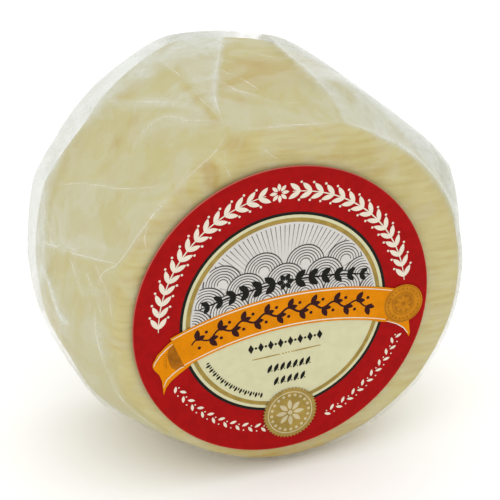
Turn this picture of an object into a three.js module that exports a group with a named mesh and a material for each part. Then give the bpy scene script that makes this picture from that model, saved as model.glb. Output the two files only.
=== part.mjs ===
// Small film-wrapped brie wheel with a round label, standing on its rim.
// Millimetres, +Z up. The label faces -Y, the gathered back of the film faces +Y.
import * as THREE from 'three';

// Driving sizes of the wheel
const labelDiameter = 50;        // round label on the front face
const labelThickness = 0.3;      // paper sticker
const seatGap = 0.3;             // air between the label and the film under it
const wheelThickness = 37.5;     // front face to back face
const frontCrease = 2.5;         // depth at which the front face has turned into the side
const shoulderDepth = 10;        // depth at which the loose film stands off the most
const backCrease = 3;            // rounding of the back rim
const restCut = 0.95;            // height taken off the rim for the flat it stands on

// The cheese under the film: its middle, seen from the label's centre, and its radius at each rim
const cheese = {
  front: { right: 2.4, up: 1.2, radius: 30.2 },
  shoulder: { right: 2.2, up: 1.2, radius: 30.9 },
  back: { right: 1.6, up: 1.2, radius: 31.0 },
};

// Taut film round the cheese: at each fold, its angle on the face (0 is right, 90 is up) and how
// far the film lies from the label's centre at the front rim, the shoulder and the back rim.
const folds = [
  { at: 5, front: 31.0, shoulder: 35.2, back: 33.0 },
  { at: 28, front: 32.2, shoulder: 37.4, back: 34.8 },
  { at: 50, front: 31.2, shoulder: 35.7, back: 35.4 },
  { at: 70, front: 30.5, shoulder: 36.8, back: 36.5 },
  { at: 103, front: 30.8, shoulder: 34.3, back: 37.5 },
  { at: 125, front: 26.5, shoulder: 31.6, back: 36.0 },
  { at: 156, front: 27.2, shoulder: 31.0, back: 35.1 },
  { at: 180, front: 28.1, shoulder: 34.4, back: 34.0 },
  { at: 205, front: 28.7, shoulder: 33.2, back: 34.6 },
  { at: 240, front: 27.0, shoulder: 30.4, back: 29.0 },
  { at: 275, front: 28.9, shoulder: 30.7, back: 31.0 },
  { at: 325, front: 31.5, shoulder: 32.1, back: 31.6 },
];
const roundness = 0.6;           // 0 pulls the film straight from fold to fold, 1 rounds it fully
const contactBlend = 0.6;        // how softly the film leaves the cheese

// Pleats of the film where it is gathered on the back
const pleatCount = 18;
const pleatHeight = 1.1;
const gatherRadius = 9;          // flat patch of pressed film in the middle of the back
const backDish = 0.9;            // the gathered film sinks a little toward the middle

// Fineness
const columns = 120;
const labelSides = 96;

const turn = Math.PI * 2;
const radians = THREE.MathUtils.degToRad;
const mix = THREE.MathUtils.lerp;

// Distance from the label's centre to the cheese, for any angle
function cheeseRadius(rim, angle) {
  const { right, up, radius } = cheese[rim];
  const along = right * Math.cos(angle) + up * Math.sin(angle);
  return along + Math.sqrt(radius ** 2 - right ** 2 - up ** 2 + along ** 2);
}

// Distance from the label's centre to the film, stretched from fold to fold
function filmRadius(rim, angle) {
  const count = folds.length;
  const wrapped = (k) => ((k % count) + count) % count;
  const place = (k) => radians(folds[wrapped(k)].at) + turn * Math.floor(k / count);
  const size = (k) => folds[wrapped(k)][rim];
  const slope = (k) => (size(k + 1) - size(k - 1)) / (place(k + 1) - place(k - 1));
  const a = place(0) + ((((angle - place(0)) % turn) + turn) % turn);
  let i = count - 1;
  while (i > 0 && place(i) > a) i -= 1;
  const width = place(i + 1) - place(i);
  const s = (a - place(i)) / width;
  const chord = (size(i) * size(i + 1) * Math.sin(width))
    / (size(i) * Math.sin(a - place(i)) + size(i + 1) * Math.sin(place(i + 1) - a));
  const round = (2 * s ** 3 - 3 * s ** 2 + 1) * size(i) + (s ** 3 - 2 * s ** 2 + s) * width * slope(i)
    + (3 * s ** 2 - 2 * s ** 3) * size(i + 1) + (s ** 3 - s ** 2) * width * slope(i + 1);
  return mix(chord, round, roundness);
}

// The outer one of the two, blended where they meet
function rimRadius(rim, angle) {
  const film = filmRadius(rim, angle);
  const held = cheeseRadius(rim, angle);
  return 0.5 * (film + held + Math.hypot(film - held, contactBlend));
}

// Section of the film from the middle of the front to the middle of the back, as [radius, depth]
function section(angle) {
  const front = rimRadius('front', angle);
  const shoulder = rimRadius('shoulder', angle);
  const back = rimRadius('back', angle);
  const rows = [];
  for (const part of [0.3, 0.6, 0.85]) rows.push([part * (front - frontCrease), 0]);
  for (let k = 0; k <= 4; k += 1) {
    const t = (k / 4) * Math.PI / 2;
    rows.push([front - frontCrease * (1 - Math.sin(t)), frontCrease * (1 - Math.cos(t))]);
  }
  for (const s of [0.25, 0.5, 0.75, 1]) {
    rows.push([mix(front, shoulder, Math.sin(s * Math.PI / 2)), mix(frontCrease, shoulderDepth, s)]);
  }
  const rim = wheelThickness - backCrease;
  for (const s of [0.2, 0.4, 0.6, 0.8, 1]) {
    rows.push([mix(shoulder, back, s), mix(shoulderDepth, rim, s)]);
  }
  for (let k = 1; k <= 3; k += 1) {
    const t = (k / 3) * Math.PI / 2;
    rows.push([back - backCrease * (1 - Math.cos(t)), rim + backCrease * Math.sin(t)]);
  }
  const inner = back - backCrease;
  for (const s of [0.15, 0.3, 0.5, 0.7, 0.85, 1]) {
    const r = mix(inner, gatherRadius, s);
    const wave = Math.abs(Math.sin(pleatCount * angle / 2 + 0.9 * s)) ** 0.7;
    const lift = pleatHeight * Math.sin(Math.PI * Math.min(1, s * 0.8 + 0.1)) * wave;
    rows.push([r, wheelThickness - backDish * s + lift - pleatHeight * 0.6]);
  }
  rows.push([gatherRadius * 0.45, wheelThickness - backDish - pleatHeight * 0.7]);
  return rows;
}

// Closed skin through all the sections
function wrapGeometry() {
  const points = [];
  const faces = [];
  const rowsOf = Array.from({ length: columns }, (_, i) => section((i / columns) * turn));
  const rowCount = rowsOf[0].length;
  points.push([0, 0, 0]);
  for (let i = 0; i < columns; i += 1) {
    const a = (i / columns) * turn;
    for (const [r, depth] of rowsOf[i]) points.push([r * Math.cos(a), depth, r * Math.sin(a)]);
  }
  points.push([0, wheelThickness - backDish - pleatHeight * 0.8, 0]);
  const last = points.length - 1;
  const at = (i, j) => 1 + (i % columns) * rowCount + j;
  for (let i = 0; i < columns; i += 1) {
    faces.push([0, at(i, 0), at(i + 1, 0)]);
    for (let j = 0; j < rowCount - 1; j += 1) {
      faces.push([at(i, j), at(i, j + 1), at(i + 1, j + 1)]);
      faces.push([at(i, j), at(i + 1, j + 1), at(i + 1, j)]);
    }
    faces.push([at(i, rowCount - 1), last, at(i + 1, rowCount - 1)]);
  }
  return { points, faces };
}

function toGeometry({ points, faces }) {
  const geometry = new THREE.BufferGeometry();
  geometry.setAttribute('position', new THREE.Float32BufferAttribute(points.flat(), 3));
  geometry.setIndex(faces.flat());
  return geometry;
}

// The wheel stands on a small flat: everything under the cut is pressed up onto it
const wrap = wrapGeometry();
const lowest = Math.min(...wrap.points.map((p) => p[2]));
const floorLevel = lowest + restCut;
for (const p of wrap.points) p[2] = Math.max(p[2], floorLevel);
const wrapShape = toGeometry(wrap);

const labelShape = new THREE.CylinderGeometry(
  labelDiameter / 2, labelDiameter / 2, labelThickness, labelSides, 1);
labelShape.translate(0, -seatGap - labelThickness / 2, 0);

const wrapMaterial = new THREE.MeshStandardMaterial({ color: 0xd2cda0, roughness: 0.35, metalness: 0 });
const labelMaterial = new THREE.MeshStandardMaterial({ color: 0xaa1c20, roughness: 0.5, metalness: 0 });

const group = new THREE.Group();
const wheel = new THREE.Mesh(wrapShape, wrapMaterial);
wheel.name = 'wrapped_wheel';
const label = new THREE.Mesh(labelShape, labelMaterial);
label.name = 'front_label';
group.add(wheel, label);

// Stand it at the middle of its box, flat on the ground
const box = new THREE.Box3().setFromObject(group);
for (const mesh of [wheel, label]) {
  mesh.geometry.translate(-(box.min.x + box.max.x) / 2, -(box.min.y + box.max.y) / 2, -floorLevel);
}

export default group;
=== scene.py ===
# %% [markdown]
# A small brie wheel in clear film, with a round printed label, standing on its rim.
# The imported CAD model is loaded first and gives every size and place. The cheese, the film, the
# folds of the film and the print of the label are then modelled round it.

# %% Load the frame
import math
import bpy
import numpy as np
from mathutils import Matrix, Vector
from mathutils.bvhtree import BVHTree
from mathutils.kdtree import KDTree
from mathutils.noise import noise as noise_at


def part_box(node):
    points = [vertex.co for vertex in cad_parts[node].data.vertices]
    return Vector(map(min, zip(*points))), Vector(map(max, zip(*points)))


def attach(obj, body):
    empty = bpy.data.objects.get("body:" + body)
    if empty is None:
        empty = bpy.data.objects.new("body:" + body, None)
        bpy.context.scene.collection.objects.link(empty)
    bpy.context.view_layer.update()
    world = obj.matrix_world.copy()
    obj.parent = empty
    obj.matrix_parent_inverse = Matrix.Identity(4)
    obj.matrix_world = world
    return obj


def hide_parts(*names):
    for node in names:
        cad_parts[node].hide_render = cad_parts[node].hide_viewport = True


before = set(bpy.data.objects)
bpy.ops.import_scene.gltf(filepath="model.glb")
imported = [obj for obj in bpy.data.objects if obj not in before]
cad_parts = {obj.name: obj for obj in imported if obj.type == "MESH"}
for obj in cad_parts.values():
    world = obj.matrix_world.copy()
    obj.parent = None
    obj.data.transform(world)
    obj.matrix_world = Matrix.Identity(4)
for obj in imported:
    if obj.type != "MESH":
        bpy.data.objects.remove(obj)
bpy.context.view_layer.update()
mm = 0.001

# %% [markdown]
# Everything is placed from two nodes: the label gives the middle of the face and its size, and the
# wrapped wheel gives the film. The face looks along -Y, so depth is measured along +Y from the film
# under the label.

# %% Measure the label and the wheel
label_low, label_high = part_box("front_label")
wheel_low, wheel_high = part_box("wrapped_wheel")
face = Vector(((label_low.x + label_high.x) / 2, wheel_low.y, (label_low.z + label_high.z) / 2))
paper_front = label_low.y
label_radius = (label_high.x - label_low.x) / 2
wheel_depth = wheel_high.y - wheel_low.y
print("label radius", round(label_radius / mm, 2), "wheel depth", round(wheel_depth / mm, 2))

# %% [markdown]
# Operators act on what is selected, so two small helpers keep the selection clean. A third one
# applies an object's place, turn and size, because each finished piece keeps them in its mesh.

# %% Selection helpers
def deselect():
    if bpy.context.mode != "OBJECT":
        bpy.ops.object.mode_set(mode="OBJECT")
    bpy.ops.object.select_all(action="DESELECT")


def activate(*objects):
    deselect()
    for obj in objects:
        obj.select_set(True)
    bpy.context.view_layer.objects.active = objects[0]


def settle(obj):
    activate(obj)
    bpy.ops.object.transform_apply(location=True, rotation=True, scale=True)
    return obj


def apply_modifier(obj, kind, **settings):
    activate(obj)
    bpy.ops.object.modifier_add(type=kind)
    modifier = obj.modifiers[-1]
    for key, value in settings.items():
        setattr(modifier, key, value)
    bpy.ops.object.modifier_apply(modifier=modifier.name)


deselect()

# %% [markdown]
# The camera stands to the left of the face and above it, at the photograph's angle. Its turn, height
# and distance were fitted to the outline of the round label, in label radii.

# %% Camera
camera_turn = math.radians(19.87)
camera_rise = math.radians(25.05)
camera_distance = 9.08 * label_radius
camera_shift_right = 0.221 * label_radius
camera_shift_up = -0.404 * label_radius
image_size = 500
pixels_per_label_radius = 157.5
to_right = Vector((math.cos(camera_turn), -math.sin(camera_turn), 0))
to_camera = Vector((-math.sin(camera_turn) * math.cos(camera_rise),
                    -math.cos(camera_turn) * math.cos(camera_rise),
                    math.sin(camera_rise)))
to_top = to_camera.cross(to_right)
paper_centre = Vector((face.x, paper_front, face.z))
camera_place = (paper_centre + to_camera * camera_distance
                - to_right * camera_shift_right - to_top * camera_shift_up)

deselect()
bpy.ops.object.camera_add(location=camera_place)
camera = bpy.context.object
camera.name = "camera"
camera.rotation_mode = "QUATERNION"
camera.rotation_quaternion = Matrix((to_right, to_top, to_camera)).transposed().to_quaternion()
camera.data.sensor_width = 36
camera.data.lens = 36 * pixels_per_label_radius * (camera_distance / label_radius) / image_size
camera.data.clip_start = 0.01
camera.data.clip_end = 20
bpy.context.scene.camera = camera
bpy.context.scene.view_settings.view_transform = "Standard"
print("lens", round(camera.data.lens, 1), "mm, camera at", [round(c, 4) for c in camera_place])

# %% [markdown]
# The photograph is a cut-out on white, lit all round by soft white light. A pale floor, a bright sky
# and two large soft lamps give that: the one above makes the top of the wheel lighter than its foot,
# and the one at the left gives the film its sheen.

# %% Floor and light
floor_size = 6
floor_roughness = 0.9
sky_strength = 1.11
wheel_middle = Vector((0, 0, 0.033))
deselect()
bpy.ops.mesh.primitive_plane_add(size=floor_size, location=(0, 0, 0))
floor = bpy.context.object
floor.name = "floor"
floor_paint = bpy.data.materials.new("floor_white")
floor_paint.use_nodes = True
floor_shader = floor_paint.node_tree.nodes["Principled BSDF"]
floor_shader.inputs["Base Color"].default_value = (1, 1, 1, 1)
floor_shader.inputs["Roughness"].default_value = floor_roughness
floor.data.materials.append(floor_paint)

world = bpy.data.worlds.new("studio")
world.use_nodes = True
world.node_tree.nodes["Background"].inputs["Color"].default_value = (1, 1, 1, 1)
world.node_tree.nodes["Background"].inputs["Strength"].default_value = sky_strength
bpy.context.scene.world = world


def soft_lamp(name, place, size, power):
    deselect()
    bpy.ops.object.light_add(type="AREA", location=place)
    lamp = bpy.context.object
    lamp.name = name
    lamp.data.shape = "DISK"
    lamp.data.size = size
    lamp.data.energy = power
    toward = wheel_middle - lamp.location
    lamp.rotation_euler = toward.to_track_quat("-Z", "Y").to_euler()


soft_lamp("lamp_above", place=(0.05, -0.15, 0.5), size=0.4, power=0.17)
soft_lamp("lamp_left", place=(-0.45, -0.25, 0.3), size=0.25, power=0.18)
print("stage ready")

# %% [markdown]
# Materials share one starting point: a Principled shader whose plain numbers sit on its own sockets.

# %% Material helpers
def new_material(name, color=(0.8, 0.8, 0.8), **numbers):
    material = bpy.data.materials.new(name)
    material.use_nodes = True
    shader = material.node_tree.nodes["Principled BSDF"]
    shader.inputs["Base Color"].default_value = (*color, 1)
    for socket, value in numbers.items():
        shader.inputs[socket.replace("_", " ")].default_value = value
    return material, material.node_tree, shader


def add_node(tree, kind, links=(), **settings):
    node = tree.nodes.new(kind)
    for key, value in settings.items():
        if key in node.inputs:
            node.inputs[key].default_value = value
        else:
            setattr(node, key, value)
    for socket, source in dict(links).items():
        tree.links.new(source, node.inputs[socket])
    return node


def object_coords(tree):
    return add_node(tree, "ShaderNodeTexCoord").outputs["Object"]


def noise(tree, scale, detail=3.0, roughness=0.5, distortion=0.0, vector=None):
    node = add_node(tree, "ShaderNodeTexNoise", Scale=scale, Detail=detail, Roughness=roughness,
                    Distortion=distortion)
    tree.links.new(vector or object_coords(tree), node.inputs["Vector"])
    return node.outputs["Fac"]


def math_node(tree, operation, first, second=None, clamp=False):
    node = add_node(tree, "ShaderNodeMath", operation=operation, use_clamp=clamp)
    for socket, value in zip(node.inputs, (first, second)):
        if value is None:
            continue
        if isinstance(value, (int, float)):
            socket.default_value = value
        else:
            tree.links.new(value, socket)
    return node.outputs[0]


def remap(tree, value, low, high, new_low=0.0, new_high=1.0):
    node = add_node(tree, "ShaderNodeMapRange", interpolation_type="SMOOTHSTEP")
    tree.links.new(value, node.inputs["Value"])
    ends = {"From Min": low, "From Max": high, "To Min": new_low, "To Max": new_high}
    for socket, number in ends.items():
        node.inputs[socket].default_value = number
    return node.outputs["Result"]


def mix_color(tree, factor, first, second):
    """A mix of two colours. In a colour mix they are sockets 6 and 7, and the share is socket 0."""
    node = add_node(tree, "ShaderNodeMix", data_type="RGBA")
    for index, value in ((0, factor), (6, first), (7, second)):
        if isinstance(value, (int, float)):
            node.inputs[index].default_value = value
        elif isinstance(value, tuple):
            node.inputs[index].default_value = (*value, 1)
        else:
            tree.links.new(value, node.inputs[index])
    return node.outputs[2]


# %% [markdown]
# Both the film and the cheese start from the skin of the CAD solid, because shrunk film follows the
# cheese nearly everywhere. A copy of that node is merged, turned back into four-sided faces, cut into
# rings and subdivided.

# %% Copy the skin of the solid
merge_distance = 0.002 * mm
quad_angle = math.radians(60)
ring_depths = (12.5, 17.3, 22.2, 27.1, 32.0)
face_depth, label_reach, long_edge = 0.3 * mm, 20 * mm, 1.5 * mm


def skin_copy(name, levels, fine_face=False):
    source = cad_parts["wrapped_wheel"]
    skin = source.copy()
    skin.data = source.data.copy()
    skin.name = name
    skin.parent = None
    for key in list(skin.keys()):
        del skin[key]
    bpy.context.scene.collection.objects.link(skin)
    skin.data.materials.clear()
    activate(skin)
    bpy.ops.object.mode_set(mode="EDIT")
    bpy.ops.mesh.select_all(action="SELECT")
    bpy.ops.mesh.remove_doubles(threshold=merge_distance)
    bpy.ops.mesh.tris_convert_to_quads(face_threshold=quad_angle, shape_threshold=quad_angle)
    for depth in ring_depths:
        bpy.ops.mesh.select_all(action="SELECT")
        bpy.ops.mesh.bisect(plane_co=(0, face.y + depth * mm, 0), plane_no=(0, 1, 0))
    bpy.ops.mesh.select_all(action="DESELECT")
    bpy.ops.object.mode_set(mode="OBJECT")
    if fine_face:
        for edge in skin.data.edges:
            ends = [skin.data.vertices[i].co - face for i in edge.vertices]
            reach = sorted(math.hypot(end.x, end.z) for end in ends)
            flat = all(end.y < face_depth for end in ends)
            edge.select = flat and reach[0] > label_reach and reach[1] - reach[0] > long_edge
        bpy.ops.object.mode_set(mode="EDIT")
        bpy.ops.mesh.subdivide(number_cuts=2)
        bpy.ops.object.mode_set(mode="OBJECT")
    apply_modifier(skin, "SUBSURF", levels=levels, render_levels=levels)
    print(name, len(skin.data.polygons), "faces")
    return skin


film = skin_copy("film", 2)

# %% [markdown]
# Places on the wheel are given as the photograph shows them: an angle on the face, with 0 at the right
# and 90 at the top, and a depth behind the film under the label.

# %% Angle and depth of points
def mesh_points(obj):
    co = np.zeros(len(obj.data.vertices) * 3)
    obj.data.vertices.foreach_get("co", co)
    return co.reshape(-1, 3)


def unrolled(points):
    """Angle on the face in degrees, depth and distance from the label's axis in mm."""
    local = (points - np.array(face)) / mm
    angle = np.degrees(np.arctan2(local[:, 2], local[:, 0])) % 360
    return angle, local[:, 1], np.hypot(local[:, 0], local[:, 2])


def smooth_step(value, low, high):
    t = np.clip((value - low) / (high - low), 0, 1)
    return t * t * (3 - 2 * t)


def round_the_rim(angle, table):
    """A value at each angle, from a table of angle and value that closes on itself."""
    return np.interp(angle, list(table), list(table.values()), period=360)


def set_group(obj, name, weights):
    group = obj.vertex_groups.new(name=name)
    for index, weight in enumerate(weights):
        if weight > 0.001:
            group.add([index], float(weight), "REPLACE")


# %% [markdown]
# The cheese is the skin pulled in toward the wheel's axis. It lies close under the film on the face
# and at the foot, and further in where the film spans from fold to fold. The tables give the gap in
# mm at each angle, as the photograph shows it at the outline. Smoothing and two soft displacements
# then make it as uneven as a soft cheese.

# %% Cheese
gap_shoulder = {5: 1.6, 28: 3.4, 50: 3.4, 68: 2.2, 85: 0.6, 120: 0.4, 156: 0.6, 180: 1.0, 205: 0.5,
                240: 0.4, 275: 0.4, 325: 0.5}
gap_back = {5: 1.5, 28: 2.6, 50: 2.2, 66: 1.2, 78: 0.7, 98: 0.6, 106: 0.9, 118: 1.3, 135: 2.2, 150: 1.8,
            172: 1.1, 190: 0.8, 205: 0.6, 240: 0.5, 275: 0.5, 325: 0.7}
gap_face, gap_side, gap_gather = 0.25, 0.5, 1.9
shoulder_depth, shoulder_spread = 11.5, 5
wheel_radius = 33.0
cheese = skin_copy("cheese", 2, fine_face=True)
points = mesh_points(cheese)
angle, depth, radius = unrolled(points)
at_shoulder = np.exp(-((depth - shoulder_depth) / shoulder_spread) ** 2)
gap = gap_side + (round_the_rim(angle, gap_shoulder) - gap_side) * at_shoulder
gap += (round_the_rim(angle, gap_back) - gap_side) * smooth_step(depth, 26, 34)
points[:, 0] = face.x + (points[:, 0] - face.x) * (1 - gap / wheel_radius)
points[:, 2] = face.z + (points[:, 2] - face.z) * (1 - gap / wheel_radius)
inward = gap_face * (1 - smooth_step(depth, 0, 5)) - gap_gather * smooth_step(depth, 31, 37.5)
points[:, 1] += mm * inward
cheese.data.vertices.foreach_set("co", points.ravel())
apply_modifier(cheese, "SMOOTH", factor=0.5, iterations=20)
for name, grain, strength in (("slump", 20 * mm, 0.4 * mm), ("dimples", 4 * mm, 0.14 * mm)):
    texture = bpy.data.textures.new(name, "CLOUDS")
    texture.noise_scale = grain
    apply_modifier(cheese, "DISPLACE", texture=texture, strength=strength, mid_level=0.6)

# %% [markdown]
# The face was drying on a rack: it keeps faint level ridges, which waver a little. They are moved
# in code, point by point, because they fade out toward the rim.

# %% Rack ridges on the face
ridge_pitch, ridge_height = 1.65, 0.045
points = mesh_points(cheese)
angle, depth, radius = unrolled(points)
on_face = 1 - smooth_step(depth, 1.2, 3.5)
waver = np.array([noise_at(Vector(p) / (9 * mm)) for p in points])
level = (points[:, 2] - face.z) / mm + 0.9 * waver
broken = np.array([noise_at(Vector((p[0] / 9, p[1] / 9, p[2] / 3)) / mm) for p in points])
ridge = np.sin(2 * math.pi * level / ridge_pitch) * smooth_step(broken, -0.3, 0.4)
points[:, 1] -= ridge_height * mm * ridge * on_face
cheese.data.vertices.foreach_set("co", points.ravel())
activate(cheese)
bpy.ops.object.shade_smooth()
print("cheese", len(cheese.data.polygons), "faces")

# %% [markdown]
# The rind is pale cream. On the sides and top it is painted a shade darker than on the face, as painted
# shade that offsets the lamp above. It is ochre in the hollows of the ridges, next to the label where
# its glue darkened it, and in a few wet patches. At the foot it is partly ochre and partly painted shade.
# One broad patch on top is painted shade, and a paler band beside the label is painted light. That is
# kept as one number for each point. A wet patch is its angle, its radius on the face or else its depth
# on the side, its size in mm and its strength.

# %% Rind
ochre_and_shade_spots = [
    (114.5, 28.2, 0, 1, 1.20), (116, 26.6, 0, 1.1, 1.30), (123, 0, 20.2, 1.3, 0.60),
    (134, 26, 0, 2.5, 0.20), (126, 27.4, 0, 1.8, 0.30), (140, 27, 0, 1.6, 0.25),
    (131, 0, 19.8, 1.2, 0.60), (132, 0, 25.5, 0.9, 0.30), (149, 0, 22, 1.6, 0.20),
    (131, 0, 8.2, 0.9, 0.25), (106.6, 0, 6.5, 1, 0.60), (105, 0, 1.8, 1.1, 0.35),
    (106, 0, 9.5, 0.8, 0.50), (106.2, 0, 13.5, 0.8, 0.50), (97, 0, 13.1, 1, 0.45),
    (97, 0, 7.6, 1.2, 0.30), (91, 0, 14.2, 1.6, 0.30), (85, 0, 20, 2, 0.20),
    # (90, 0, 15, 7, 0.42) is no wet patch but painted shade: it darkens the top of the wheel, which the lamp
    # above lights strongly.
    (90, 0, 15, 7, 0.42), (60, 27, 0, 4, 0.15), (103, 29.4, 0, 1.6, 0.45),
    (108, 30, 0, 1, 0.35), (83, 0, 18, 4, 0.25), (106.6, 0, 17.5, 0.8, 0.40),
]
# Painted shade: the side colour is the face cream made darker, so that the sides and top, lit more by the
# lamp above, come out as bright as the face.
shaded_side_cream = (0.462, 0.420, 0.193)
face_cream = (0.496, 0.442, 0.200)
ochre_and_shade_color = (0.405, 0.288, 0.070)
upper = np.exp(-(((angle - 55 + 180) % 360 - 180) / 70) ** 2)
near_label = on_face * (1 - smooth_step(radius, 25.0, 28.5)) * upper
foot = 1 - smooth_step(points[:, 2] / mm, 0.0, 11.0)
wet = np.array([noise_at(Vector(p) / (6 * mm)) for p in points])
# At the foot the darker colour is partly real ochre and partly painted shade, growing darker towards the
# floor.
ochre_and_shade = 0.08 + 0.08 * on_face * upper + 0.12 * near_label + 0.80 * foot
# Painted light: a paler band beside the label's left and lower edge offsets the shade that the label casts.
ochre_and_shade -= 0.14 * on_face * (1 - smooth_step(radius, 25.0, 27.5)) * (1 - upper) * (1 - foot)
ochre_and_shade += on_face * 0.12 * (1 - ridge) / 2 + 0.16 * smooth_step(wet, 0.1, 0.5)
for spot_angle, spot_radius, spot_depth, size, amount in ochre_and_shade_spots:
    turned = np.radians((angle - spot_angle + 180) % 360 - 180) * radius
    across = radius - spot_radius if spot_radius else depth - spot_depth
    ochre_and_shade += amount * np.exp(-(turned**2 + across**2) / size**2) * (on_face if spot_radius else 1)
for name, values in (("ochre_and_shade", ochre_and_shade), ("pressed", on_face)):
    attribute = cheese.data.attributes.new(name, "FLOAT", "POINT")
    attribute.data.foreach_set("value", np.clip(values, 0, 1).astype(np.float32))

rind, tree, shader = new_material("rind", Roughness=0.5, Specular_IOR_Level=0.3)
ochre_and_shade_here = add_node(tree, "ShaderNodeAttribute", attribute_name="ochre_and_shade").outputs["Fac"]
mottle = remap(tree, noise(tree, 260, 3, 0.5), 0.3, 0.7, -0.08, 0.08)
pressed = add_node(tree, "ShaderNodeAttribute", attribute_name="pressed").outputs["Fac"]
level_coords = add_node(tree, "ShaderNodeMapping")
level_coords.inputs["Scale"].default_value = (150, 150, 1300)
tree.links.new(object_coords(tree), level_coords.inputs["Vector"])
level_noise = noise(tree, 1, 2, 0.5, vector=level_coords.outputs["Vector"])
streaks = remap(tree, level_noise, 0.35, 0.75, -0.10, 0.30)
share = math_node(tree, "ADD", math_node(tree, "ADD", ochre_and_shade_here, mottle),
                  math_node(tree, "MULTIPLY", streaks, pressed), clamp=True)
# The sides take the darker, painted-shade cream and the face takes the plain cream.
rind_with_shaded_sides = mix_color(tree, pressed, shaded_side_cream, face_cream)
rind_color = mix_color(tree, share, rind_with_shaded_sides, ochre_and_shade_color)
tree.links.new(rind_color, shader.inputs["Base Color"])
bump = add_node(tree, "ShaderNodeBump", Strength=0.2, Distance=0.0004)
tree.links.new(noise(tree, 500, 3, 0.5), bump.inputs["Height"])
tree.links.new(bump.outputs["Normal"], shader.inputs["Normal"])
cheese.data.materials.append(rind)
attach(cheese, "root")
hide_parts("wrapped_wheel")
print("mean ochre of the rind", round(float(np.clip(ochre_and_shade, 0, 1).mean()), 2))

# %% Gap between film and cheese
cheese_skin = BVHTree.FromObject(cheese, bpy.context.evaluated_depsgraph_get())
film_points = mesh_points(film)
film_angle, film_depth, film_radius = unrolled(film_points)
gap = np.array([cheese_skin.find_nearest(Vector(p))[3] for p in film_points]) / mm
print("film stands off by", round(gap.min(), 2), "to", round(gap.max(), 2), "mm")

# %% [markdown]
# The film is creased along folds. A path of a fold is a few points of angle and depth, joined by a
# smooth line that is then laid on the film. The first number is the strength of the fold.

# %% Fold paths
film_skin = BVHTree.FromObject(film, bpy.context.evaluated_depsgraph_get())
arc = 33.0                                  # mm of film for each radian round the wheel
fold_lines = {
    "front_left": (0.6, [(169, 4.3), (161, 4.3), (156, 2.4), (143, 1), (135, 0.8), (126, 0.8), (118, 0.9),
                         (110, 1.5), (105, 3.4)]),
    "front_low": (0.55, [(169, 4.3), (179, 3.7), (189, 3.3), (201, 2.7), (213, 2.5), (228, 2.5)]),
    "upright": (0.8, [(105, 4), (103, 10), (100, 15), (95, 22), (89, 32), (88, 35)]),
    "up_left": (0.5, [(105, 5), (106, 12), (106, 18), (107, 24), (108, 29)]),
    "middle": (0.45, [(131, 12.5), (127, 14.5), (122, 15.3), (117, 14.6), (111, 8.5), (106, 5.5)]),
    "high": (0.42, [(126, 29), (120, 23), (115, 18.5), (110, 14)]),
    "low": (0.42, [(152, 26), (148, 22), (143, 16), (138, 9.7), (132, 4.6), (127, 1.4)]),
    "left_rim": (0.5, [(173, 20), (165, 22), (161, 26.5), (156, 29.3), (151, 30.7), (140, 32.3), (129, 30.8),
                       (119, 31), (108, 30)]),
    "left_spoke": (0.8, [(170, 31), (168, 24), (165, 17.5), (160, 8.2), (156, 2.4)]),
    "lower_left": (1.5, [(174, 24), (176, 16.5), (178, 10.5), (180, 7.2)]),
    "corner_branch": (0.9, [(165, 22.8), (166, 21.1), (163, 15.6), (161, 11.1)]),
    "corner": (0.3, [(140, 32.3), (141, 29.6), (144, 25.2), (148, 23.6)]),
    "crinkle_a": (0.7, [(131, 35), (128, 32), (125, 30.4), (121, 30.7), (116, 30)]),
    "crinkle_b": (0.5, [(127, 29.4), (123, 28.6), (119, 30), (115, 32)]),
    "crinkle_c": (0.8, [(118, 28.6), (116, 29), (113, 28.2), (110, 28)]),
    "crinkle_d": (0.7, [(135, 28.5), (131, 28.9), (129, 30.6), (127, 33)]),
    "crinkle_e": (0.7, [(157, 29), (154, 30.1), (151, 31.5), (147, 33)]),
    "crinkle_f": (0.6, [(146, 28.8), (143, 30.2), (139, 31), (133, 33.5)]),
    "top_edge": (0.45, [(104, 3.2), (96, 1.6), (86, 1), (78, 1), (72, 1.5)]),
    "rise": (0.8, [(72, 1.6), (73, 4.5), (76, 8), (76, 15), (76, 22), (75, 29), (74, 34)]),
    "right_rim": (1.4, [(71, 1.4), (60, 0.9), (48, 0.9), (36, 0.9), (24, 0.9), (11, 0.9), (2, 1.2)]),
    "top_streak_a": (0.6, [(97, 18.5), (96, 16.5), (94, 13.6), (93, 10.7), (92, 8.5), (90, 6.8)]),
    "top_streak_b": (0.55, [(102, 18.5), (101, 16.5), (98, 12.4), (97, 9.8), (93, 7.1), (89, 5.2),
                            (82, 4.6)]),
    "top_streak_c": (0.4, [(90, 26), (85, 22), (79, 19)]),
    "pleat_a": (0.3, [(166, 0.9), (172, 2.6), (183, 3.4), (192, 3)]),
    "pleat_b": (0.3, [(162, 7.6), (167, 4.8), (172, 2.7), (176, 1.4)]),
    "pleat_c": (0.4, [(162, 9), (166, 5.6), (171, 3.8), (175, 3)]),
    "pleat_d": (0.38, [(160, 6.2), (165, 3.4), (170, 1.8), (177, 0.9)]),
    "pleat_e": (0.4, [(164, 13.8), (167, 8.5), (171, 5.5), (174, 4.1)]),
    "back_low": (0.8, [(205, 34), (204, 26), (206, 18), (210, 10), (214, 4)]),
    "foot_left": (0.6, [(240, 34), (238, 24), (240, 14), (243, 5), (246, 1)]),
    "right_spoke": (0.7, [(28, 3), (28, 10), (27, 20), (24, 30), (22, 35)]),
    "right_low": (0.7, [(5, 2), (4, 10), (6, 20), (3, 33)]),
    "foot_right": (0.6, [(325, 3), (322, 12), (325, 24), (330, 34)]),
}


def on_film(angle, depth):
    """The point of the film at an angle on the face and a depth, both as on the fold paths."""
    a = math.radians(angle)
    start = face + Vector((0, depth * mm, 0))
    return film_skin.ray_cast(start, Vector((math.cos(a), 0, math.sin(a))))[0]


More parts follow.
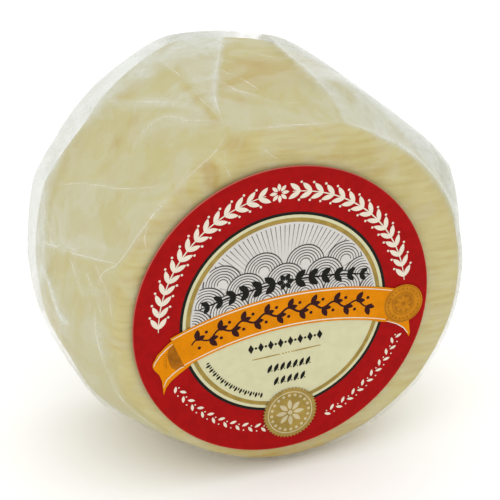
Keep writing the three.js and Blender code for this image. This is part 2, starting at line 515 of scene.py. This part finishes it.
def smooth_path(points, step=0.7):
    """Points about step mm apart on a smooth line through the given (angle, depth) points."""
    known = np.array([(math.radians(a) * arc, d) for a, d in points])
    length = np.concatenate([[0], np.cumsum(np.hypot(*np.diff(known, axis=0).T))])
    tangent = np.gradient(known, length, axis=0)
    path = []
    for s in np.linspace(0, length[-1], max(8, int(length[-1] / step))):
        i = min(int(np.searchsorted(length, s, side="right")) - 1, len(known) - 2)
        w = length[i + 1] - length[i]
        t = (s - length[i]) / w
        p = ((2 * t**3 - 3 * t**2 + 1) * known[i] + (t**3 - 2 * t**2 + t) * w * tangent[i]
             + (3 * t**2 - 2 * t**3) * known[i + 1] + (t**3 - t**2) * w * tangent[i + 1])
        path.append(on_film(math.degrees(p[0] / arc), p[1]))
    return path


fold_paths = {name: smooth_path(points) for name, (strength, points) in fold_lines.items()}

# %% [markdown]
# Folds that lie on the flat front or back are given by angle and radius. On the back the film is
# gathered into pleats: a crease runs in each trough of the CAD solid, from the rim to the pressed
# patch in the middle.

# %% Folds on the front and the back
pleat_count, gather_radius, back_radius = 18, 9.0, 29.0


def on_flat(angle, radius, from_depth):
    a = math.radians(angle)
    start = face + Vector((radius * math.cos(a), from_depth, radius * math.sin(a))) * mm
    return film_skin.ray_cast(start, Vector((0, -1 if from_depth > 0 else 1, 0)))[0]


front_folds = {
    "small_a": (0.4, [(97, 29.4), (98, 28.7), (96, 27.8), (94, 26.8), (92, 25.9)]),
    "small_b": (0.4, [(108, 30), (110, 28.3), (110, 26.6), (110, 25.4)]),
    "small_c": (0.4, [(139, 28.3), (144, 27.6), (148, 26.1)]),
}
for name, (strength, points) in front_folds.items():
    fold_lines[name] = (strength, points)
    fold_paths[name] = [on_flat(a, r, -5) for a, r in points]
for pleat in range(pleat_count):
    name = "pleat_" + str(pleat)
    start = 0.10 + 0.06 * math.sin(5 * pleat)
    shares = np.linspace(start, 1.0, 24)
    turns_in = [(math.pi * pleat - 0.9 * share) / (pleat_count / 2) for share in shares]
    reach = [back_radius + (gather_radius - back_radius) * share for share in shares]
    fold_lines[name] = (0.5 + 0.3 * math.sin(2.3 * pleat), [])
    fold_paths[name] = [on_flat(math.degrees(a), r, 60) for a, r in zip(turns_in, reach)]
print("folds", len(fold_paths))

# %% [markdown]
# Each fold raises the film into a low ridge. How near a point of the film is to a fold is looked up
# in a tree of all the path points, and the ridge fades out at both ends of its path.

# %% Raise the film along the folds
fold_height, fold_half_width = 0.22, 0.55
fold_points = []
for name, path in fold_paths.items():
    for k, place in enumerate(path):
        fade = abs(math.sin(math.pi * k / (len(path) - 1))) ** 0.5
        fold_points.append((place, fold_lines[name][0] * fade))
fold_tree = KDTree(len(fold_points))
for index, (place, strength) in enumerate(fold_points):
    fold_tree.insert(place, index)
fold_tree.balance()
nearest = [fold_tree.find(Vector(p)) for p in film_points]
fold_near = np.array([found[2] for found in nearest]) / mm
fold_strength = np.array([fold_points[found[1]][1] for found in nearest])
crease = fold_strength * np.exp(-(fold_near / fold_half_width) ** 2)
set_group(film, "crease", crease)
apply_modifier(film, "DISPLACE", strength=fold_height * mm, mid_level=0, vertex_group="crease")
print("points raised on folds", int((crease > 0.05).sum()))

# %% Crumple the loose film
loose = smooth_step(gap, 0.8, 3.0) * smooth_step(film_points[:, 2] / mm, 1.5, 5.0)
turned = (film_angle + 180) % 360 - 180
right_side = smooth_step(turned, -30, 20) * (1 - smooth_step(turned, 70, 76))
loose *= 1 - 0.65 * right_side
set_group(film, "loose", loose)
for name, grain, strength in (("crumple", 9 * mm, -0.35 * mm), ("crinkle", 2.4 * mm, -0.09 * mm)):
    texture = bpy.data.textures.new(name, "CLOUDS")
    texture.noise_scale = grain
    apply_modifier(film, "DISPLACE", texture=texture, strength=strength, mid_level=0.3,
                   vertex_group="loose")
activate(film)
bpy.ops.object.shade_smooth()
print("loose share of the film", round(float(loose.mean()), 2))

# %% [markdown]
# Clear film looks milky where it is crumpled, doubled or away from the cheese, and clear where it
# clings. That is kept as one number for each point, called haze. It grows with the gap to the
# cheese and along folds, and panes between folds have their own: how much is added, over how many mm
# it blends, and an outline of angles and depths. The left rim and the right band are the widest.

# %% Haze of the film
panes = [
    ("left of the upright fold", 0.30, 0.5,
     [(108, 29), (102, 31), (100, 34), (88, 33), (94, 22), (100, 14), (105, 6), (106, 12), (106, 18)]),
    ("white top of it", 0.34, 2.4,
     [(120, 28), (113, 25.5), (108, 26), (104, 27), (99, 26), (91, 27), (88, 29), (87, 40), (118, 40)]),
    ("above the top edge", 0.15, 0.45,
     [(104, 6), (101, 9), (96, 6.3), (90, 4.4), (84, 3.5), (79, 5.2), (77, 8), (76, 12), (74, 5.4),
      (72, 1.4), (78, 0.8), (86, 0.7), (96, 1.4), (104, 3)]),
    ("touches beside the rise", -0.30, 0.8, [(73, 8.5), (70, 8.5), (66, 6), (68, 4.6), (71, 5.9)]),
    ("touches on top", -0.24, 1,
     [(90, 28), (83, 28), (78, 25.6), (78, 16.7), (82, 7.4), (84, 3.8), (90, 5.6), (95, 8.7), (98, 12.7)]),
    ("round touch", -0.12, 1,
     [(129, 14.7), (125, 13.5), (122, 11.3), (121, 8), (122, 5.6), (126, 5), (130, 6), (133, 8.6),
      (132, 12)]),
    ("swirl over it", 0.13, 0.5,
     [(123, 17), (118, 16.4), (113, 13.5), (108, 8.1), (105, 5), (111, 6.4), (115, 9.9), (119, 13),
      (124, 14)]),
    ("patch beside the fold", 0.22, 0.7,
     [(109, 20), (107.5, 15), (107.5, 11), (107, 7), (109, 8.2), (111, 12.3), (117, 20.4), (118, 22.8),
      (112, 18)]),
    ("touch under the fold", -0.30, 0.6,
     [(107, 24), (107, 15), (106.7, 7), (105.5, 6), (104.4, 12), (105.2, 24)]),
    ("streak above", 0.17, 0.5,
     [(125, 28.5), (120, 23.6), (110, 14), (107, 9), (112, 14), (118, 19.3), (124, 23)]),
    ("left facet", 0.15, 0.5,
     [(152, 25), (144, 17), (148, 12), (154, 5), (162, 13), (165, 22), (159, 26)]),
    ("lower left", 0.08, 1.5,
     [(159, 6), (157, 2.8), (165, 0.9), (184, 0.9), (199, 1), (186, 4), (171, 6)]),
    ("end of the rise", -0.18, 1, [(80, 33), (70, 33), (68, 40), (82, 40)]),
    # This pane is a painted highlight: a white streak along the lower left fold.
    ("bright spindle", 0.45, 0.35,
     [(173.8, 25), (176, 17), (177.8, 10.5), (180, 7), (178.8, 7.8), (176.8, 13.7), (174.4, 22.9)]),
    ("wedge over the spoke", 0.15, 0.5,
     [(167, 21.5), (165, 17.4), (160, 8.2), (157, 3.1), (155, 2.3), (153, 4.7), (154, 8), (156, 12.4),
      (161, 16.1), (164, 20.9)]),
    ("beside the front fold", 0.09, 0.45,
     [(110, 1.6), (118, 0.9), (126, 0.8), (135, 0.8), (143, 1), (155, 2.3), (152, 6.1), (148, 6.3),
      (141, 5.2), (132, 5.6), (123, 4.6), (117, 5.2)]),
    ("low on the left", 0.14, 2,
     [(176, 4), (196, 2), (222, 2), (230, 12), (226, 30), (205, 32), (186, 30), (176, 22)]),
]
left_rim = [(176, 20.5), (168, 24), (161, 26.5), (154, 28.5), (148, 29.3), (143, 30), (135, 29.5),
            (130, 28.2), (125, 28.8), (120, 28.2), (115, 27.8), (111, 26.5), (108, 29), (100, 40),
            (140, 40), (192, 40), (190, 30)]
right_band = [(75, 36), (76, 27), (76, 14), (76, 8), (72, 3.5), (71, 1.4), (60, 0.8), (48, 0.9), (36, 0.9),
              (24, 0.9), (12, 0.9), (0, 0.9), (-40, 0.9), (-40, 40), (74, 40)]
side_haze, gap_haze, crease_haze, halo_haze = 0.07, 0.45, 0.30, 0.10
left_rim_haze, right_band_haze, back_haze, patch_haze = 0.60, 0.50, 0.10, 0.35
least_haze, most_haze = 0.03, 0.85


def pane_weight(outline, soft):
    """1 inside an outline of (angle, depth), 0 outside, blended over soft mm."""
    whole_turns = turned if min(a for a, d in outline) < 0 else film_angle
    x, y = np.radians(whole_turns) * arc, film_depth
    corners = [(math.radians(a) * arc, d) for a, d in outline]
    distance = np.full(len(x), 1e9)
    inside = np.zeros(len(x), bool)
    for (x0, y0), (x1, y1) in zip(corners, corners[1:] + corners[:1]):
        along = np.clip(((x - x0) * (x1 - x0) + (y - y0) * (y1 - y0))
                        / ((x1 - x0) ** 2 + (y1 - y0) ** 2), 0, 1)
        distance = np.minimum(distance, np.hypot(x - x0 - along * (x1 - x0), y - y0 - along * (y1 - y0)))
        crosses = (y0 > y) != (y1 > y)
        inside ^= crosses & (x < (x1 - x0) * (y - y0) / ((y1 - y0) or 1e-9) + x0)
    return smooth_step(np.where(inside, distance, -distance), -soft, soft)


on_back = smooth_step(film_depth, 31, 36) * (1 - smooth_step(film_radius, 24, 31))
haze = (side_haze * smooth_step(film_depth, 0.8, 4.0)
        + gap_haze * smooth_step(gap, 0.8, 3.8) * (1 - 0.5 * on_back))
haze += crease_haze * crease + halo_haze * fold_strength * np.exp(-fold_near / 1.6)
for title, amount, soft, outline in panes:
    haze += amount * pane_weight(outline, soft) * (1 - on_back)
on_left_rim = pane_weight(left_rim, 1.8) * (1 - on_back)
haze += on_left_rim * (left_rim_haze - haze) - 0.40 * on_left_rim * smooth_step(film_depth, 35.2, 36.6)
haze += right_band_haze * pane_weight(right_band, 0.5) * smooth_step(turned, -35, 22) * (1 - on_back)
beside_patch = smooth_step(film_radius, gather_radius - 2.5, gather_radius + 1.0)
haze += on_back * (back_haze + patch_haze * (1 - beside_patch))
haze += 0.10 * smooth_step(film_depth, 33.5, 36.5) * (1 - on_back) * (1 - on_left_rim)
haze = np.clip(haze, least_haze, most_haze)
attribute = film.data.attributes.new("haze", "FLOAT", "POINT")
attribute.data.foreach_set("value", haze.astype(np.float32))
print("haze from", round(float(haze.min()), 2), "to", round(float(haze.max()), 2))

# %% Film material
film_clear, tree, shader = new_material("film_clear", (0.56, 0.58, 0.522), Roughness=0.2, IOR=1.45)
haze_here = add_node(tree, "ShaderNodeAttribute", attribute_name="haze").outputs["Fac"]
lifted = remap(tree, noise(tree, 115, 5, 0.6, distortion=1.4), 0.45, 0.57, 0.0, 0.13)
swirl = remap(tree, noise(tree, 300, 3, 0.6, distortion=0.6), 0.3, 0.7, 0.85, 1.15)
alpha = math_node(tree, "ADD", math_node(tree, "MULTIPLY", haze_here, swirl), lifted, clamp=True)
tree.links.new(alpha, shader.inputs["Alpha"])
film.data.materials.append(film_clear)
film.visible_shadow = False
film.visible_diffuse = False
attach(film, "root")
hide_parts("wrapped_wheel")
print("film", len(film.data.polygons), "faces")

# %% [markdown]
# The crest of a fold is doubled film. It is a thin tapered tube along the fold's path, half sunk in
# the film, and its white, which noise breaks into glints, is partly real and partly painted highlight.

# %% Crests of the folds
crest_radius, least_strength = 0.16, 0.35


def tube(name, path, radius):
    deselect()
    bpy.ops.curve.primitive_nurbs_path_add()
    curve = bpy.context.object
    curve.name = name
    curve.data.splines.clear()
    spline = curve.data.splines.new("POLY")
    spline.points.add(len(path) - 1)
    for k, (point, place) in enumerate(zip(spline.points, path)):
        share = k / (len(path) - 1)
        outward = film_skin.find_nearest(place)[1] * crest_radius * mm
        point.co = (*(place + outward - curve.location), 1)
        point.radius = max(0.15, abs(math.sin(math.pi * share)) ** 0.6)
    curve.data.bevel_depth = radius * mm
    curve.data.bevel_resolution = 2
    curve.data.use_fill_caps = True
    activate(curve)
    bpy.ops.object.convert(target="MESH")
    return settle(bpy.context.object)


fold_pieces = [tube("fold_" + name, path, crest_radius * fold_lines[name][0])
               for name, path in fold_paths.items() if fold_lines[name][0] > least_strength]
activate(*fold_pieces)
bpy.ops.object.join()
film_folds = bpy.context.object
film_folds.name = "film_folds"
bpy.ops.object.shade_smooth()
fold_white, tree, shader = new_material("fold_white", (0.80, 0.81, 0.74), Roughness=0.18)
# Painted highlight: noise breaks the white of the crest into glints.
glints = remap(tree, noise(tree, 160, 3, 0.6), 0.38, 0.68, 0.0, 0.28)
tree.links.new(glints, shader.inputs["Alpha"])
film_folds.data.materials.clear()
film_folds.data.materials.append(fold_white)
film_folds.visible_shadow = False
film_folds.visible_diffuse = False
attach(film_folds, "root")
print("crests", len(fold_pieces), "with", len(film_folds.data.polygons), "faces")

# %% [markdown]
# The label is the CAD node itself, with a printed paper finish and a pale cut edge. What is printed on
# it is laid over it as thin flat shapes, each a hair above the last, in a plane that is turned a
# little, as the label is. Its ornament is a traditional one of leaves, shells, rays and beads.

# %% Label plane
label_turn = math.radians(3)
layer = 0.012 * mm


def on_label(u, v, level):
    """A point u mm right and v mm up from the label's middle, so many layers above the paper."""
    c, s = math.cos(label_turn), math.sin(label_turn)
    right, up = (u * c - v * s) * mm, (u * s + v * c) * mm
    return Vector((face.x + right, paper_front - level * layer, face.z + up))


def facing_forward(outline):
    """The outline with its points in the order that makes its face look forward."""
    area = sum(x0 * y1 - x1 * y0 for (x0, y0), (x1, y1) in zip(outline, outline[1:] + outline[:1]))
    return outline if area > 0 else outline[::-1]


def flat_shape(outline, level):
    """A filled flat shape: a disc whose rim points are moved to the outline."""
    deselect()
    bpy.ops.mesh.primitive_circle_add(vertices=len(outline), radius=mm, fill_type="NGON",
                                      rotation=(math.pi / 2, 0, 0))
    shape = settle(bpy.context.object)
    for vertex, (u, v) in zip(shape.data.vertices, facing_forward(outline)):
        vertex.co = on_label(u, v, level)
    return shape


def stamps(outline, places, level):
    """Copies of one flat shape, each at u, v, turned by degrees and scaled. Every second one lies a
    little higher, so that neighbours may overlap."""
    outline = facing_forward(outline)
    first = flat_shape(outline, level)
    copies = []
    for index, (u, v, turn, size) in enumerate(places):
        copy = first.copy()
        copy.data = first.data.copy()
        bpy.context.scene.collection.objects.link(copy)
        c, s = math.cos(math.radians(turn)) * size, math.sin(math.radians(turn)) * size
        for vertex, (x, y) in zip(copy.data.vertices, outline):
            vertex.co = on_label(u + x * c - y * s, v + x * s + y * c, level + 0.2 * (index % 2))
        copies.append(copy)
    bpy.data.objects.remove(first)
    return copies


def join(name, shapes, material):
    """One piece of these flat shapes, given the thickness of a layer of ink."""
    activate(*shapes)
    if len(shapes) > 1:
        bpy.ops.object.join()
    piece = bpy.context.object
    piece.name = name
    piece.data.materials.clear()
    piece.data.materials.append(material)
    apply_modifier(piece, "SOLIDIFY", thickness=0.8 * layer, offset=-1)
    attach(piece, "root")
    print(name, len(piece.data.polygons), "faces")
    return piece


# %% [markdown]
# All the ornament is made of a few outlines: arcs, discs, bands, strokes along a path, and a pointed
# leaf. Angles are in degrees, with 0 at the right and 90 at the top.

# %% Outlines
def polar(radius, angle, centre=(0, 0)):
    a = math.radians(angle)
    return centre[0] + radius * math.cos(a), centre[1] + radius * math.sin(a)


def arc_points(radius, start, end, count, centre=(0, 0)):
    return [polar(radius, start + (end - start) * k / (count - 1), centre) for k in range(count)]


def disc(radius, level, centre=(0, 0), count=96):
    return flat_shape(arc_points(radius, 0, 360 - 360 / count, count, centre), level)


def band(inner, outer, start, end, level, centre=(0, 0), count=48):
    return flat_shape(arc_points(outer, start, end, count, centre)
                      + arc_points(inner, end, start, count, centre), level)


def ring(inner, outer, level, centre=(0, 0)):
    return [band(inner, outer, 0, 180, level, centre), band(inner, outer, 180, 360, level, centre)]


def stroke(points, width, level):
    """A line of this width through the points, thinning to its ends."""
    path = np.array(points)
    along = np.gradient(path, axis=0)
    along /= np.hypot(*along.T)[:, None]
    taper = np.sin(np.pi * np.linspace(0.12, 0.88, len(path))) ** 0.5
    side = np.stack([-along[:, 1], along[:, 0]], axis=1) * (taper * width / 2)[:, None]
    return flat_shape([tuple(p) for p in path - side] + [tuple(p) for p in (path + side)[::-1]], level)


def leaf(length, width, steps=6):
    half = [(length * k / steps, width / 2 * math.sin(math.pi * k / steps) ** 0.8)
            for k in range(steps + 1)]
    return [(u, -v) for u, v in half] + half[-2:0:-1]


def round_dot(radius, count=12):
    return arc_points(radius, 0, 360 - 360 / count, count)


def rosette(centre, petals, inner, length, width, level):
    places = [(*polar(inner, 360 * k / petals, centre), 360 * k / petals, 1) for k in range(petals)]
    return stamps(leaf(length, width), places, level)


# %% [markdown]
# Paper and inks are matt, so that the red stays deep in bright light. Each ink has a fine grain. The
# paper's cut edge is pale: the paper's colour changes a little inside its rim.

# %% Paper and inks
def ink(name, color, grain=0.05, roughness=0.5):
    material, tree, shader = new_material(name, color, Roughness=roughness, Specular_IOR_Level=0.04)
    dark = tuple(c * (1 - 2 * grain) for c in color)
    light = tuple(min(1, c * (1 + grain)) for c in color)
    mottled = mix_color(tree, remap(tree, noise(tree, 700, 3), 0.3, 0.7), dark, light)
    tree.links.new(mottled, shader.inputs["Base Color"])
    return material


red_paper = ink("red_paper", (0.32, 0.0045, 0.0048))
black_ink = ink("black_ink", (0.013, 0.013, 0.010))
grey_ink = ink("grey_ink", (0.055, 0.052, 0.048))
cream_ink = ink("cream_ink", (0.575, 0.555, 0.345), 0.02)
pale_ink = ink("pale_ink", (0.70, 0.64, 0.52), 0.02)
gold_ink = ink("gold_ink", (0.325, 0.225, 0.055), 0.08, 0.35)
pale_gold_ink = ink("pale_gold_ink", (0.52, 0.45, 0.27), 0.05)
ground_ink = ink("ground_ink", (0.585, 0.565, 0.53), 0.02)
orange_ink = ink("orange_ink", (0.64, 0.21, 0.001), 0.04)
brown_ink = ink("brown_ink", (0.33, 0.11, 0.006), 0.15)
bark_ink = ink("bark_ink", (0.035, 0.010, 0.010))
amber_ink = ink("amber_ink", (0.50, 0.19, 0.008), 0.08)
honey_ink = ink("honey_ink", (0.36, 0.135, 0.008), 0.08)

label_tree = red_paper.node_tree
label_shader = label_tree.nodes["Principled BSDF"]
from_middle = add_node(label_tree, "ShaderNodeVectorMath", operation="DISTANCE")
from_middle.inputs[1].default_value = (face.x, paper_front, face.z)
label_tree.links.new(object_coords(label_tree), from_middle.inputs[0])
cut_paper = (0.46, 0.12, 0.09)
edge_start, edge_end = label_radius - 0.14 * mm, label_radius - 0.02 * mm
cut_edge = remap(label_tree, from_middle.outputs["Value"], edge_start, edge_end)
printed = label_shader.inputs["Base Color"].links[0].from_socket
edged = mix_color(label_tree, cut_edge, printed, cut_paper)
label_tree.links.new(edged, label_shader.inputs["Base Color"])
paper_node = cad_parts["front_label"]
paper_node.data.materials.clear()
paper_node.data.materials.append(red_paper)

# %% Rings and grounds of the label
black_radius, cream_radius, gold_radius, panel_radius = 17.5, 17.0, 16.5, 15.8
join("print_black_ring", [disc(black_radius, 1)], black_ink)
join("print_cream_ring", [disc(cream_radius, 2)], cream_ink)
join("print_gold_ring", [disc(gold_radius, 3)], gold_ink)
join("print_panel", [disc(panel_radius, 4)], cream_ink)
join("print_ground", [flat_shape(arc_points(panel_radius, -3, 183, 64), 5)], ground_ink)

# %% [markdown]
# A leaf garland runs over the top of the red ring: two stems rise from the sides with a pair of
# leaves and a berry at each step, and meet at a rosette. Two small rows of leaves run below.

# %% Garland on the red ring
garland_radius = 20.9
stems = [stroke(arc_points(garland_radius, 176, 96, 40), 0.22, 1),
         stroke(arc_points(garland_radius, 4, 84, 40), 0.22, 1)]
leaves, berries = [], []
for start, way in ((174.5, -1), (5.5, 1)):
    for step in range(15):
        angle = start + way * 5.35 * step
        along = angle + 90 * way
        leaves += [(*polar(garland_radius, angle), along + side, 1) for side in (34, -34)]
        if step < 14:
            berries.append((*polar(garland_radius + 1.5, angle + way * 5.5), 0, 1))
            berries.append((*polar(garland_radius - 1.45, angle + way * 5.7), 0, 1))
join("print_garland", stems + stamps(leaf(2.3, 0.82), leaves, 1.4) + stamps(round_dot(0.2), berries, 1)
     + rosette((0, garland_radius), 8, 0.35, 1.25, 0.6, 1.4), pale_ink)

small_leaves, small_dots = [], []
for radius, start, end in ((20.9, -155, -104), (21.4, -73, -25)):
    count = 17
    for step in range(count):
        angle = start + (end - start) * step / (count - 1)
        small_leaves.append((*polar(radius - 0.2, angle), angle + 90 + (38 if step % 2 else -38), 1))
        small_dots.append((*polar(radius + (0.45 if step % 2 else -0.45), angle + 1.4), 0, 1))
join("print_small_rows", stamps(leaf(1.25, 0.5), small_leaves, 1.4)
     + stamps(round_dot(0.13, 8), small_dots, 1), pale_ink)

# %% [markdown]
# The upper panel looks engraved. Fine rays open over three rows of shells, each shell a stack of thin
# arcs. Each row lies in front of the one above it, and a dark leaf garland in front of them all.

# %% Rays and shells
ribbon_centre = (0.3, -53.5)
shell_radius = 3.3
line_pitch = 0.46
fan_centre = (0, 2)
ray_half_width = 0.06


def ray(angle, inner, level):
    """A thin ray of the fan, which ends at the panel's edge."""
    c, s = math.cos(math.radians(angle)), math.sin(math.radians(angle))
    reach = -fan_centre[1] * s + math.sqrt((panel_radius - 0.35) ** 2 - (fan_centre[1] * c) ** 2)
    start, (u, v) = polar(inner, angle, fan_centre), polar(reach, angle, fan_centre)
    side_u, side_v = ray_half_width * s, ray_half_width * c
    return flat_shape([start, (u - side_u, v + side_v), (u + side_u, v - side_v)], level)


def runs_inside(points, limit):
    """The stretches of a line of points that lie within this radius of the label's middle."""
    runs = [[]]
    for point in points:
        if math.hypot(*point) < limit:
            runs[-1].append(point)
        elif runs[-1]:
            runs.append([])
    return [run for run in runs if len(run) > 3]


def held_inside(points, limit):
    return [p if math.hypot(*p) < limit else tuple(np.array(p) * limit / math.hypot(*p)) for p in points]


join("print_rays", [ray(angle, 8.0, 5.5) for angle in np.arange(9, 172, 3.4)], grey_ink)
shell_step = math.degrees(2 * shell_radius / 59)
for row, (row_radius, count) in enumerate(((61.8, 4), (59.2, 5), (56.6, 6))):
    level = 6 + 2 * row
    fills, lines = [], []
    for k in range(count):
        centre = polar(row_radius, 90 + shell_step * (k - (count - 1) / 2), ribbon_centre)
        rim = arc_points(shell_radius - 0.02, -10, 190, 32, centre)
        fills.append(flat_shape(held_inside(rim, panel_radius - 0.1), level))
        for step in range(6):
            arc_line = arc_points(shell_radius - 0.12 - line_pitch * step, -8, 188, 40, centre)
            for run in runs_inside(arc_line, panel_radius - 0.2):
                lines.append(stroke(run, 0.22 if step == 0 else 0.16, level + 1))
    join("print_shells_" + str(row), fills, ground_ink)
    join("print_shell_lines_" + str(row), lines, grey_ink)

# %% Dark garland in the panel
vine_radius = 59.2
vine_leaves, vine_stems = [], []
for way in (-1, 1):
    stem = arc_points(vine_radius, 90 + way * 0.6, 90 + way * 14, 16, ribbon_centre)
    vine_stems.append(stroke(stem, 0.3, 12))
    for step in range(6):
        angle = 90 + way * (1.6 + 2.15 * step)
        along = angle + 90 * way
        for side in (40, -40):
            vine_leaves.append((*polar(vine_radius, angle, ribbon_centre), along + side, 1 - 0.06 * step))
join("print_vine", vine_stems + stamps(leaf(2.3, 1.2), vine_leaves, 12.4)
     + rosette(polar(vine_radius, 90, ribbon_centre), 6, 0.2, 1.3, 0.8, 12.4), black_ink)

# %% [markdown]
# The ribbon crosses the label in a low arch. Its left end folds back behind it and its right end goes
# behind the medal. Both tails are shapes under the ribbon, and the fold has a darker shade that ends
# in dots, as an engraver would draw it.

# %% Ribbon
tail_left = flat_shape([(-18, 0.2), (-18.9, -0.4), (-20, -1.2), (-21.4, -2.4), (-22.2, -3.7),
                        (-22.3, -4.3), (-22, -5), (-21.3, -6), (-21, -7.1), (-20.9, -9.7),
                        (-20.4, -8.5), (-19.4, -7.4), (-18, -6.5), (-16.1, -5.4), (-16, -3)], 12)
tail_right = flat_shape([(15, -4.5), (15.9, -5.1), (18.2, -5.7), (19.5, -6.5), (20.7, -7.5), (21.6, -9.2),
                         (21.8, -8.5), (21.6, -6.1), (21, -3), (17, -2)], 12)
join("print_ribbon_tails", [tail_left, tail_right], orange_ink)
shade_left = flat_shape([(-18, -1), (-18.8, -1.2), (-19.5, -1.8), (-19.8, -2.6), (-19.6, -4.2),
                         (-19.2, -5.2), (-18.4, -5.8), (-17, -5.3), (-17, -2)], 13)
shade_right = flat_shape([(15.4, -4.6), (17.9, -5.4), (17.6, -4.2), (15.5, -4)], 13)
shade_dots = [(-19.9 - 0.24 * column - 0.03 * dot, -2.5 - 0.34 * dot, 0, 1 - 0.2 * column)
              for column in range(3) for dot in range(8 - column)]
join("print_ribbon_shade", [shade_left, shade_right] + stamps(round_dot(0.1, 8), shade_dots, 13),
     brown_ink)
join("print_ribbon", [band(51, 57, 70.3, 109.9, 14, ribbon_centre)], orange_ink)
ribbon_lines = [stroke(arc_points(56.6, 70.6, 109.7, 60, ribbon_centre), 0.2, 15),
                stroke(arc_points(51.4, 70.6, 109.9, 60, ribbon_centre), 0.2, 15),
                stroke([(-18.8, -1), (-19.8, -1.6), (-21, -2.6), (-21.8, -3.6), (-22.1, -4.2)], 0.16, 15),
                stroke([(-20.8, -8.3), (-20.2, -7.1), (-19, -6.2), (-17.8, -5.5), (-17.2, -5.4)], 0.16, 13.4),
                stroke([(17.6, -5.4), (19.4, -6.3), (20.6, -7.3), (21.4, -8.5)], 0.18, 13.4)]
join("print_ribbon_lines", ribbon_lines, pale_ink)

# %% Sprig on the ribbon
sprig_radius, half_waves = 54.0, 16
sprig_start, sprig_end = 107.3, 74.2
sprig_path, sprig_leaves, sprig_dots = [], [], []
for share in np.linspace(0, 1, half_waves * 6 + 1):
    swing = 0.5 * math.sin(math.pi * half_waves * share)
    angle = sprig_start + (sprig_end - sprig_start) * share
    sprig_path.append(polar(sprig_radius + swing, angle, ribbon_centre))
for k in range(half_waves):
    up = 1 if k % 2 == 0 else -1
    angle = sprig_start + (sprig_end - sprig_start) * (k + 0.5) / half_waves
    root = polar(sprig_radius + 0.4 * up, angle, ribbon_centre)
    sprig_leaves += [(*root, angle - 90 + 62 * up, 1), (*root, angle - 90 + 6 * up, 0.85)]
    sprig_dots.append((*polar(sprig_radius - 1.05 * up, angle, ribbon_centre), 0, 1))
join("print_sprig", [stroke(sprig_path, 0.38, 15)] + stamps(leaf(1.9, 0.95), sprig_leaves, 15.4)
     + stamps(round_dot(0.28), sprig_dots, 15), bark_ink)

# %% Small ornament in the cream panel
diamond = [(-0.5, 0), (0, -0.85), (0.5, 0), (0, 0.85)]
upper_row = [(u, -5.1, 0, 1) for u in np.linspace(-6.0, 5.8, 8)]
upper_dots = [(u, -5.1, 0, 1) for u in np.linspace(-5.16, 4.96, 7)]
lower_leaves = [(u, v - 0.7, 62, 1) for v, count in ((-9.5, 7), (-12.0, 5))
                for u in np.linspace(-0.5 * count + 0.1, 0.5 * count - 0.3, count)]
lower_dots = [(u + 0.75, v + 0.3, 0, 0.55) for u, v, turn, size in lower_leaves]
ticks = [(*polar(14.2, angle), angle, 1 if step % 2 else 0.65)
         for step, angle in enumerate(np.arange(-156, -107, 1.9))]
join("print_small_marks", stamps(diamond, upper_row, 5) + stamps(round_dot(0.22), upper_dots + lower_dots, 5)
     + stamps(leaf(1.7, 0.66), lower_leaves, 5) + stamps(leaf(1.05, 0.42, 4), ticks, 5), black_ink)
rule_v = -7.1
rules = [stroke([(u, rule_v) for u in places], 0.24, 5)
         for places in ((-5.9, -3.5, -1.1), (0.8, 3.3, 5.9))]
rule_dots = stamps(round_dot(0.15, 8), [(u, rule_v, 0, 1) for u in (-0.6, -0.1, 0.4)], 5)
join("print_rules", rules + rule_dots, gold_ink)

# %% [markdown]
# The medal at the end of the ribbon and the seal at the foot of the label are both discs with rings,
# beads and a rosette. The seal has a serrated rim.

# %% Medal and seal
medal_centre, medal_radius = (20.6, -2.8), 3.45
join("print_medal", [disc(medal_radius, 16, medal_centre, 64)], amber_ink)
beads = [(*polar(2.7, 15 * k, medal_centre), 0, 1) for k in range(24)]
join("print_medal_relief", ring(3.15, 3.3, 17, medal_centre) + [disc(2.05, 17, medal_centre, 48)]
     + stamps(round_dot(0.2, 8), beads, 17), honey_ink)
join("print_medal_rosette", rosette(medal_centre, 8, 0.25, 1.35, 0.62, 18)
     + ring(1.72, 1.86, 18, medal_centre), amber_ink)

seal_centre, teeth = (0.1, -18.4), 48
seal_outline = []
for tooth in range(teeth):
    seal_outline.append(polar(4.75, 360 * tooth / teeth, seal_centre))
    seal_outline.append(polar(4.4, 360 * (tooth + 0.5) / teeth, seal_centre))
join("print_seal", [flat_shape(seal_outline, 16)], gold_ink)
beads = [(*polar(3.25, 18 * k, seal_centre), 0, 1) for k in range(20)]
join("print_seal_relief", ring(3.75, 3.92, 17, seal_centre) + stamps(round_dot(0.26), beads, 17)
     + rosette(seal_centre, 8, 0.55, 1.9, 0.8, 17) + [disc(0.4, 17, seal_centre, 24)], pale_gold_ink)
